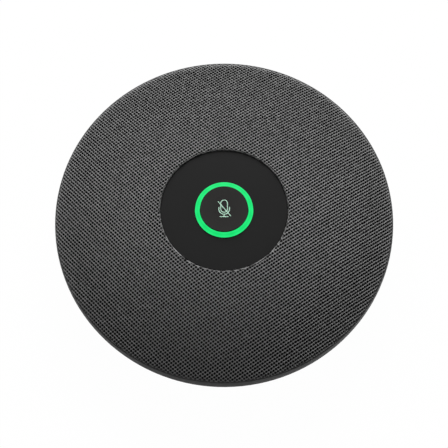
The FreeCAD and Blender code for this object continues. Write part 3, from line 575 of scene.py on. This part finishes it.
def spider_cloth():
    """Resin-stiffened cotton: a square weave, amber from the resin."""
    paint = Paint("spider_cloth")
    parts = paint.parts(paint.place)
    thread = 2 * math.pi / (0.5 * MM)
    warp = paint.math("SINE", parts["X"] * thread)
    weft = paint.math("SINE", parts["Y"] * thread)
    weave = warp * weft * 0.5 + 0.5
    mottle = paint.noise(2 * MM, 3.0)
    warm = paint.mix(mottle, tint(0.40, 0.24, 0.09), tint(0.54, 0.36, 0.16))
    return paint.done({
        "Base Color": paint.mix(weave * 0.5, warm, tint(0.26, 0.15, 0.055)),
        "Roughness": paint.span(mottle, 0.3, 0.7, 0.8, 0.92),
        "Normal": paint.bump(weave, 0.06 * MM),
    })


def foam():
    """Open-celled black foam."""
    paint = Paint("foam")
    bubble = paint.cells(0.35 * MM)["Distance"]
    return paint.done({
        "Base Color": paint.mix(paint.span(bubble, 0.0, 0.8), grey(0.045), grey(0.008)),
        "Roughness": paint.span(bubble, 0.0, 0.8, 0.85, 1.0),
        "Normal": paint.bump(bubble, -0.08 * MM),
    })


FINISHES = {
    "shell_plastic": shell_plastic, "rim_plastic": rim_plastic, "foot_rubber": foot_rubber,
    "frame_plastic": frame_plastic, "knit": knit_yarn, "panel_plastic": panel_plastic,
    "key_plastic": key_plastic, "light_guide": light_guide, "board_laminate": board_laminate,
    "chip_black": chip_black, "led_lens": led_lens, "steel": steel, "ferrite": ferrite,
    "coil_copper": coil_copper, "cone_paper": cone_paper, "soft_rubber": soft_rubber,
    "spider_cloth": spider_cloth, "foam": foam, "cell_foil": cell_foil,
    "contact_metal": contact_metal,
}


def paint_frame():
    """Gives every CAD node the finish of its slot, and returns the finishes."""
    finishes = {slot: make() for slot, make in FINISHES.items()}
    for part in frame["record"]["subparts"]:
        node = frame["nodes"][part["node"]]
        node.data.materials.clear()
        node.data.materials.append(finishes[part["material_slot"]])
    return finishes


# ---------------------------------------------------------------- pieces

def new_piece(name, vertices, faces, material):
    mesh = bpy.data.meshes.new(name)
    mesh.from_pydata([tuple(v) for v in vertices], [], faces)
    mesh.validate()
    piece = bpy.data.objects.new(name, mesh)
    bpy.context.scene.collection.objects.link(piece)
    if material:
        mesh.materials.append(material)
    return piece


def smooth(piece):
    piece.data.polygons.foreach_set("use_smooth", [True] * len(piece.data.polygons))


def dome_centre():
    """The height of the middle of the dome's sphere."""
    return DOME_TOP - math.sqrt(DOME_RADIUS ** 2 - WELL_RADIUS ** 2)


def arc(centre, radius, start, end, steps):
    """Points (radius, height) on an arc. Angles are from straight up, clockwise."""
    return [(centre[0] + radius * math.sin(turn), centre[1] + radius * math.cos(turn))
            for turn in np.linspace(start, end, steps + 1)]


def skin_profile(inset=0.0, short=0.0):
    """The skin's section from the well's wall, over the roll and the dome, to short of the hem."""
    across = WELL_RADIUS + ROLL
    lean = math.asin(across / DOME_RADIUS)
    crown = dome_centre() + DOME_RADIUS * math.cos(lean)
    roll_centre = (across - ROLL * math.sin(lean), crown - ROLL * math.cos(lean))
    brow = math.asin(BROW_RADIUS / DOME_RADIUS)
    reach = DOME_RADIUS - SHOULDER
    shoulder_centre = (reach * math.sin(brow), dome_centre() + reach * math.cos(brow))
    hem = math.asin((HEM_RADIUS - shoulder_centre[0]) / SHOULDER) - short / SHOULDER
    wall = (roll_centre[0] - ROLL + inset, TUCK_BOTTOM)
    points = [wall]
    points += arc(roll_centre, ROLL - inset, -math.pi / 2, lean, ROLL_STEPS)
    points += arc((0, dome_centre()), DOME_RADIUS - inset, lean, brow, DOME_STEPS)[1:]
    points += arc(shoulder_centre, SHOULDER - inset, brow, hem, SHOULDER_STEPS)[1:]
    return points


def profile_length(points):
    steps = np.diff(np.array(points), axis=0)
    return float(np.hypot(steps[:, 0], steps[:, 1]).sum())


def flat_ring(points):
    """The inner radius and the width of the skin laid flat from where its roll ends."""
    to_roll = profile_length([p for p in points if p[0] <= WELL_RADIUS + ROLL + ROUNDING])
    return WELL_RADIUS + ROLL - to_roll, profile_length(points)


def lathe(name, points, material):
    """A surface turned round the axis from a section given from the inside out."""
    turns = np.arange(TURN_STEPS) * 2 * math.pi / TURN_STEPS
    vertices = [(r * math.cos(t), r * math.sin(t), z) for t in turns for r, z in points]
    count = len(points)
    faces = []
    for k in range(TURN_STEPS):
        here = k * count
        there = (k + 1) % TURN_STEPS * count
        faces += [(here + i, here + i + 1, there + i + 1, there + i) for i in range(count - 1)]
    piece = new_piece(name, vertices, faces, material)
    smooth(piece)
    return piece


def stitch():
    """One hole of the knit: an eight-sided oval rim, joined to the diamond of cords round it.

    lean is 1 on the one slant of cords and -1 on the other. pull draws the first in, the second out.
    """
    right = Vector((STITCH_WIDTH / 2, 0, 0))
    far = Vector((0, STITCH_LENGTH / 2, 0))
    knuckle = Vector((0, 0, KNUCKLE_RISE))
    over = Vector((0, 0, OVER_RISE))
    under = Vector((0, 0, UNDER_RISE))
    diamond = [
        right + knuckle, (right + far) / 2 + over, far + knuckle, (far - right) / 2 + under,
        knuckle - right, (-right - far) / 2 + over, knuckle - far, (right - far) / 2 + under,
    ]
    turns = [k * 2 * math.pi / STITCH_SIDES for k in range(STITCH_SIDES)]
    rim = [(HOLE_HALF_WIDTH * math.cos(turn), HOLE_HALF_LENGTH * math.sin(turn), -CORD_DEPTH)
           for turn in turns]
    faces = []
    for k in range(STITCH_SIDES):
        after = (k + 1) % STITCH_SIDES
        faces.append((k, after, STITCH_SIDES + after, STITCH_SIDES + k))
    tile = new_piece("stitch", diamond + rim, faces, None)
    sides = [0, -1, 0, 1, 0, -1, 0, 1]
    pulls = [0.0] * (3 * STITCH_SIDES)
    for turn, side in zip(turns, sides):
        pulls += [-side * math.cos(turn), -side * math.sin(turn), 0.0]
    lean = tile.data.attributes.new("lean", "FLOAT", "POINT")
    lean.data.foreach_set("value", sides + [0] * STITCH_SIDES)
    pull = tile.data.attributes.new("pull", "FLOAT_VECTOR", "POINT")
    pull.data.foreach_set("vector", pulls)
    return tile


def curve_object(name, points):
    """A poly curve through (radius, height) points in the XZ plane."""
    curve = bpy.data.curves.new(name, "CURVE")
    curve.dimensions = "3D"
    spline = curve.splines.new("POLY")
    spline.points.add(len(points) - 1)
    for point, (r, z) in zip(spline.points, points):
        point.co = (r, 0, z, 1)
    piece = bpy.data.objects.new(name, curve)
    bpy.context.scene.collection.objects.link(piece)
    return piece


class Growth(Nodes):
    """A Geometry Nodes tree with named inputs, run on a host object."""

    def __init__(self, name):
        super().__init__(bpy.data.node_groups.new(name, "GeometryNodeTree"))
        self.values = {}

    def inputs(self, sizes):
        for name, (kind, value) in sizes.items():
            socket = self.tree.interface.new_socket(name, in_out="INPUT", socket_type=kind)
            self.values[socket.identifier] = value
        entry = self.add("NodeGroupInput", {}, {})
        return {name: entry[name] for name in sizes}

    def attribute(self, name, kind="FLOAT"):
        return self.add("GeometryNodeInputNamedAttribute", {"data_type": kind}, {"Name": name})

    def noise(self, place, size, detail):
        """Noise from 0 to 1 whose lumps are about size metres across."""
        return self.add("ShaderNodeTexNoise", {}, {
            "Vector": place, "Scale": 1 / size, "Detail": detail,
        })

    def shift(self, place, size, detail, reach):
        """A random shift of up to half of reach each way, which changes over about size."""
        centred = self.vector("SUBTRACT", self.noise(place, size, detail)["Color"], (0.5, 0.5, 0.5))
        return self.scaled(centred, reach)

    def outputs(self, geometry, material):
        """Ends the tree: real geometry with its material."""
        real = self.add("GeometryNodeRealizeInstances", {}, {"Geometry": geometry})
        coated = self.add("GeometryNodeSetMaterial", {}, {"Geometry": real, "Material": material})
        self.tree.interface.new_socket("Geometry", in_out="OUTPUT", socket_type="NodeSocketGeometry")
        self.add("NodeGroupOutput", {}, {"Geometry": coated})

    def grow(self, name, helpers=()):
        """The plain mesh object that the tree makes. The helper objects are removed."""
        host = new_piece(name + "_host", [(0, 0, 0)], [], None)
        modifier = host.modifiers.new(self.tree.name, "NODES")
        modifier.node_group = self.tree
        for identifier, value in self.values.items():
            modifier[identifier] = value
        bpy.context.view_layer.update()
        graph = bpy.context.evaluated_depsgraph_get()
        mesh = bpy.data.meshes.new_from_object(host.evaluated_get(graph))
        mesh.name = name
        host.modifiers.clear()
        for spent in (host, *helpers):
            bpy.data.objects.remove(spent)
        piece = bpy.data.objects.new(name, mesh)
        bpy.context.scene.collection.objects.link(piece)
        return piece


def make_knit(material):
    """The open knit: stitches on a staggered grid, wrapped over the dome by the skin's section."""
    points = skin_profile(short=HEM_SHORT)
    inner, width = flat_ring(points)
    tile = stitch()
    section = curve_object("skin_section", points)
    tree = Growth("wrapped_knit")
    given = tree.inputs({
        "Stitch": ("NodeSocketObject", tile), "Section": ("NodeSocketObject", section),
        "Width": ("NodeSocketFloat", STITCH_WIDTH), "Length": ("NodeSocketFloat", STITCH_LENGTH),
        "Turn": ("NodeSocketFloat", STITCH_TURN), "Inner": ("NodeSocketFloat", inner),
        "Reach": ("NodeSocketFloat", width), "Wander": ("NodeSocketFloat", WANDER),
        "Jitter": ("NodeSocketFloat", JITTER), "Relief": ("NodeSocketFloat", RELIEF),
        "Lift": ("NodeSocketFloat", CORD_LIFT), "Spread": ("NodeSocketFloat", CORD_SPREAD),
        "Yarn": ("NodeSocketMaterial", material),
    })
    net = flat_net(tree, given, inner + width)
    place, height = stray(tree, given)
    net = trim_net(tree, given, net, place, height)
    net = lay_net(tree, given, net)
    tree.outputs(net, given["Yarn"])
    return tree.grow("knit_cover", (tile, section))


def flat_net(tree, given, outer):
    """A flat net of stitches that reaches past the outer radius, with its cords joined.

    A stitch stands on every other point of the grid, like the squares of one colour on a chessboard.
    """
    across = 4 * math.ceil(outer / STITCH_WIDTH) + 5
    along = 4 * math.ceil(outer / STITCH_LENGTH) + 5
    grid = tree.add("GeometryNodeMeshGrid", {}, {
        "Size X": given["Width"] * ((across - 1) / 2), "Size Y": given["Length"] * ((along - 1) / 2),
        "Vertices X": across, "Vertices Y": along,
    })
    number = tree.add("GeometryNodeInputIndex", {}, {})
    column = tree.math("FLOOR", (number + 0.5) / along)
    odd = tree.math("MODULO", column + (number - column * along), 2.0)
    sites = tree.add("GeometryNodeDeleteGeometry", {"domain": "POINT"}, {
        "Geometry": grid, "Selection": odd,
    })
    stitches = tree.add("GeometryNodeObjectInfo", {}, {"Object": given["Stitch"]})["Geometry"]
    spread = tree.add("GeometryNodeInstanceOnPoints", {}, {"Points": sites, "Instance": stitches})
    net = tree.add("GeometryNodeRealizeInstances", {}, {"Geometry": spread})
    return tree.add("GeometryNodeMergeByDistance", {}, {"Geometry": net, "Distance": JOIN_WITHIN})


def stray(tree, given):
    """Where each point of the flat net strays to, and how high it stands over the skin."""
    position = tree.add("GeometryNodeInputPosition", {}, {})
    shifted = tree.vector("ADD", position, (SEED_SHIFT, SEED_SHIFT, SEED_SHIFT))
    drift = tree.shift(shifted, WANDER_SIZE, 2.0, given["Wander"])
    shake = tree.shift(shifted, JITTER_SIZE, 1.0, given["Jitter"])
    flat = tree.parts(position)
    side = flat["X"] / BROW_RADIUS + CORD_BALANCE
    pull = tree.scaled(tree.attribute("pull", "FLOAT_VECTOR"), side * given["Spread"])
    rough = tree.vector("ADD", tree.vector("ADD", position, pull), tree.vector("ADD", drift, shake))
    place = tree.add("ShaderNodeVectorRotate", {"rotation_type": "Z_AXIS"}, {
        "Vector": rough, "Angle": given["Turn"],
    })
    relief = (tree.noise(shifted, RELIEF_SIZE, 1.0)["Fac"] - 0.5) * given["Relief"]
    height = flat["Z"] + relief + tree.attribute("lean") * side * given["Lift"]
    return place, height


def trim_net(tree, given, net, place, height):
    """Writes down where each point goes, and cuts the net to the ring from the tuck to the hem."""
    radius = tree.radius(place)
    measures = {
        "lift": height / CORD_DEPTH, "radius": radius, "angle": tree.angle(place), "height": height,
    }
    for name, value in measures.items():
        net = tree.add("GeometryNodeStoreNamedAttribute", {"data_type": "FLOAT", "domain": "POINT"}, {
            "Geometry": net, "Name": name, "Value": value,
        })
    outside = tree.math("GREATER_THAN", radius, given["Inner"] + given["Reach"])
    inside = tree.math("LESS_THAN", radius, given["Inner"])
    for beyond in (outside, inside):
        most = tree.add("FunctionNodeCompare", {"data_type": "FLOAT", "operation": "GREATER_THAN"}, {
            "A": beyond, "B": 0.5,
        })
        net = tree.add("GeometryNodeDeleteGeometry", {"domain": "FACE"}, {
            "Geometry": net, "Selection": most,
        })
    return net


def lay_net(tree, given, net):
    """Lays the flat ring on the section turned round the axis. Only the attribute lift is kept."""
    radius, angle, height = (tree.attribute(name) for name in ("radius", "angle", "height"))
    from_tuck = tree.math("MAXIMUM", radius - given["Inner"], 0.0)
    section = tree.add("GeometryNodeObjectInfo", {}, {"Object": given["Section"]})["Geometry"]
    sample = tree.add("GeometryNodeSampleCurve", {"mode": "LENGTH", "use_all_curves": True}, {
        "Curves": section, "Length": tree.math("MINIMUM", from_tuck, given["Reach"]),
    })
    spot = tree.parts(sample["Position"])
    slope = tree.parts(sample["Tangent"])
    reach = spot["X"] - slope["Z"] * height
    laid = tree.add("ShaderNodeCombineXYZ", {}, {
        "X": reach * tree.math("COSINE", angle), "Y": reach * tree.math("SINE", angle),
        "Z": spot["Z"] + slope["X"] * height,
    })
    net = tree.add("GeometryNodeSetPosition", {}, {"Geometry": net, "Position": laid})
    net = tree.add("GeometryNodeSetShadeSmooth", {}, {"Geometry": net})
    for name in ("radius", "angle", "height", "lean", "pull"):
        net = tree.add("GeometryNodeRemoveAttribute", {}, {"Geometry": net, "Name": name})
    return net


def flat_skin():
    """Flat side and flat area of the ring of cloth that the skin is cut from."""
    inner, width = flat_ring(skin_profile(short=HEM_SHORT))
    outer = inner + width
    return 2 * outer, math.pi * (outer ** 2 - inner ** 2)


def dress_top(finishes):
    """The knit and its backing stand for the cover."""
    side, area = flat_skin()
    knit = make_knit(finishes["knit"])
    backing = lathe("knit_backing", skin_profile(BACKING_DEPTH), backing_cloth())
    for piece, rests_on in ((knit, ["knit_backing"]), (backing, ["grille_frame"])):
        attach(piece, "housing")
        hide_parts("fabric_cover")


# ---------------------------------------------------------------- key symbol

def turned_points(height, radius, start, end, steps):
    """Points on a circle in the key's plane, centred that far up the symbol.

    Angles are from +X, anticlockwise, in degrees.
    """
    return [(radius * math.cos(turn), height + radius * math.sin(turn))
            for turn in np.radians(np.linspace(start, end, steps + 1))]


def ribbon(path, width, closed):
    """A flat band along a path in the plane: its outline points and faces. Open ends are rounded."""
    spots = np.array(path)
    if closed:
        ahead = np.roll(spots, -1, axis=0) - np.roll(spots, 1, axis=0)
    else:
        ahead = np.gradient(spots, axis=0)
    ahead /= np.linalg.norm(ahead, axis=1)[:, None]
    side = np.stack([-ahead[:, 1], ahead[:, 0]], axis=1) * width / 2
    count = len(spots)
    points = [tuple(p) for p in np.concatenate([spots + side, spots - side])]
    faces = [(k, k + count, k + 1 + count, k + 1) for k in range(count - 1)]
    if closed:
        faces.append((count - 1, 2 * count - 1, count, 0))
        return points, faces
    for end, way in ((0, -ahead[0]), (count - 1, ahead[-1])):
        turns = math.atan2(way[1], way[0]) + np.linspace(-math.pi / 2, math.pi / 2, CAP_STEPS)
        faces.append(tuple(range(len(points), len(points) + CAP_STEPS)))
        points += [(spots[end][0] + width / 2 * math.cos(turn),
                    spots[end][1] + width / 2 * math.sin(turn)) for turn in turns]
    return points, faces


def make_symbol():
    """A microphone crossed out, as thin bands that follow the key's dish."""
    capsule = turned_points(CAPSULE_TOP, CAPSULE_RADIUS, 0, 180, CAPSULE_STEPS)
    capsule += turned_points(CAPSULE_FOOT, CAPSULE_RADIUS, 180, 360, CAPSULE_STEPS)
    cradle = turned_points(CAPSULE_FOOT, CRADLE_RADIUS, 180, 360, CRADLE_STEPS)
    cradle = [(-CRADLE_RADIUS, CRADLE_TOP)] + cradle + [(CRADLE_RADIUS, CRADLE_TOP)]
    stem = [(0, CAPSULE_FOOT - CRADLE_RADIUS), (0, BASE_PLACE)]
    base = [(-BASE_HALF, BASE_PLACE), (BASE_HALF, BASE_PLACE)]
    slash = [SLASH_FROM, SLASH_TO]
    vertices = []
    faces = []
    for path in (capsule, cradle, stem, base, slash):
        points, bands = ribbon(path, SYMBOL_LINE, closed=path is capsule)
        start = len(vertices)
        faces += [tuple(start + k for k in band) for band in bands]
        for x, y in points:
            dish = KEY_DISH * (1 - (x * x + y * y) / KEY_RADIUS ** 2)
            vertices.append((x, y, KEY_TOP - dish + SYMBOL_PROUD))
    symbol = new_piece("mute_symbol", vertices, faces, symbol_print())
    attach(symbol, "mute_key")


# ---------------------------------------------------------------- port contacts

def make_contacts():
    """Gold strips in two rows on the faces of the port's tongue, half sunk in it."""
    low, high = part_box("port_tongue")
    middle = (low + high) / 2
    place = (middle.x, high.y - CONTACT_SETBACK - CONTACT_LENGTH / 2, middle.z)
    tree = Growth("contact_rows")
    given = tree.inputs({
        "Count": ("NodeSocketInt", CONTACT_COUNT), "Pitch": ("NodeSocketFloat", CONTACT_PITCH),
        "Width": ("NodeSocketFloat", CONTACT_WIDTH), "Length": ("NodeSocketFloat", CONTACT_LENGTH),
        "Thick": ("NodeSocketFloat", CONTACT_THICK), "Apart": ("NodeSocketFloat", high.z - low.z),
        "Metal": ("NodeSocketMaterial", contact_gold()),
    })
    rows = tree.add("GeometryNodeMeshGrid", {}, {
        "Size X": given["Pitch"] * (given["Count"] - 1), "Size Y": given["Apart"],
        "Vertices X": given["Count"], "Vertices Y": 2,
    })
    stood = tree.add("GeometryNodeTransform", {}, {
        "Geometry": rows, "Translation": place, "Rotation": (math.pi / 2, 0, 0),
    })
    size = tree.add("ShaderNodeCombineXYZ", {}, {
        "X": given["Width"], "Y": given["Length"], "Z": given["Thick"],
    })
    strip = tree.add("GeometryNodeMeshCube", {}, {"Size": size})
    strips = tree.add("GeometryNodeInstanceOnPoints", {}, {"Points": stood, "Instance": strip})
    tree.outputs(strips, given["Metal"])
    contacts = tree.grow("port_contacts")
    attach(contacts, "housing")


# ---------------------------------------------------------------- spider

def make_spider(finishes):
    """The spider as a soft ring of the same shape, with its doubled vertices joined, in place of the
    CAD node.
    """
    node = frame["nodes"]["spider"]
    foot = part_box("spider")[0].z
    mesh = node.data.copy()
    mesh.transform(node.matrix_world)
    joined = bmesh.new()
    joined.from_mesh(mesh)
    bmesh.ops.remove_doubles(joined, verts=joined.verts, dist=SPIDER_JOIN_WITHIN)
    joined.to_mesh(mesh)
    joined.free()
    mesh.materials.clear()
    mesh.materials.append(finishes["spider_cloth"])
    ring = bpy.data.objects.new("spider_ring", mesh)
    bpy.context.scene.collection.objects.link(ring)
    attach(ring, "housing")
    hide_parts("spider")
    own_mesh(ring)


# ---------------------------------------------------------------- stage

def make_floor():
    """A floor that shows white to the camera, keeps a trace of the shadow and is clear from below.

    Light from under it passes, so the underside shows too.
    """
    paint = Paint("floor_white")
    rays = paint.add("ShaderNodeLightPath", {}, {})
    matt = paint.add("ShaderNodeBsdfDiffuse", {}, {
        "Color": paint.mix(paint.noise(60 * MM, 3.0), grey(0.80), grey(0.82)),
    })
    white = paint.add("ShaderNodeEmission", {}, {"Color": grey(1.0), "Strength": 1.0})
    top = paint.add("ShaderNodeMixShader", {}, {
        "Fac": rays["Is Camera Ray"] * FLOOR_WHITE_SHARE, 1: matt, 2: white,
    })
    behind = paint.add("ShaderNodeNewGeometry", {}, {})["Backfacing"]
    clear = paint.add("ShaderNodeBsdfTransparent", {}, {})
    surface = paint.add("ShaderNodeMixShader", {}, {
        "Fac": paint.math("MAXIMUM", behind, rays["Is Shadow Ray"]), 1: top, 2: clear,
    })
    paint.add("ShaderNodeOutputMaterial", {}, {"Surface": surface})
    corners = [(x * FLOOR_HALF, y * FLOOR_HALF, -FLOOR_GAP)
               for x, y in ((-1, -1), (1, -1), (1, 1), (-1, 1))]
    floor = new_piece("floor", corners, [(0, 1, 2, 3)], paint.material)


def make_world():
    """Soft grey light all round, white where it is looked at."""
    world = bpy.data.worlds.new("studio")
    world.use_nodes = True
    world.node_tree.nodes.clear()
    nodes = Nodes(world.node_tree)
    rays = nodes.add("ShaderNodeLightPath", {}, {})
    light = nodes.add("ShaderNodeBackground", {}, {"Color": grey(1.0), "Strength": WORLD_LIGHT})
    white = nodes.add("ShaderNodeBackground", {}, {"Color": grey(1.0), "Strength": 1.0})
    seen = nodes.math("MAXIMUM", rays["Is Camera Ray"], rays["Is Glossy Ray"] * WORLD_GLOSS_SHARE)
    share = nodes.add("ShaderNodeMixShader", {}, {"Fac": seen, 1: light, 2: white})
    nodes.add("ShaderNodeOutputWorld", {}, {"Surface": share})
    bpy.context.scene.world = world


def put_aimed(name, data, place, aim):
    """Puts a lamp or a camera in its place, turned to the point that it is aimed at."""
    thing = bpy.data.objects.new(name, data)
    thing.location = place
    thing.rotation_euler = (Vector(aim) - Vector(place)).to_track_quat("-Z", "Y").to_euler()
    bpy.context.scene.collection.objects.link(thing)
    return thing


def light_stage():
    for name, (place, width, height, watts) in SOFTBOXES.items():
        lamp = bpy.data.lights.new(name, "AREA")
        lamp.shape = "RECTANGLE"
        lamp.size = width
        lamp.size_y = height
        lamp.energy = watts
        put_aimed(name, lamp, place, STAGE_MIDDLE)


def add_camera():
    view = bpy.data.cameras.new("camera")
    view.sensor_width = CAMERA_SENSOR
    view.lens = CAMERA_LENS
    bpy.context.scene.camera = put_aimed("camera", view, CAMERA_PLACE, CAMERA_AIM)


finishes = paint_frame()
dress_top(finishes)
make_symbol()
make_contacts()
make_spider(finishes)
make_floor()
make_world()
light_stage()
add_camera()
bpy.context.scene.view_settings.view_transform = "Standard"
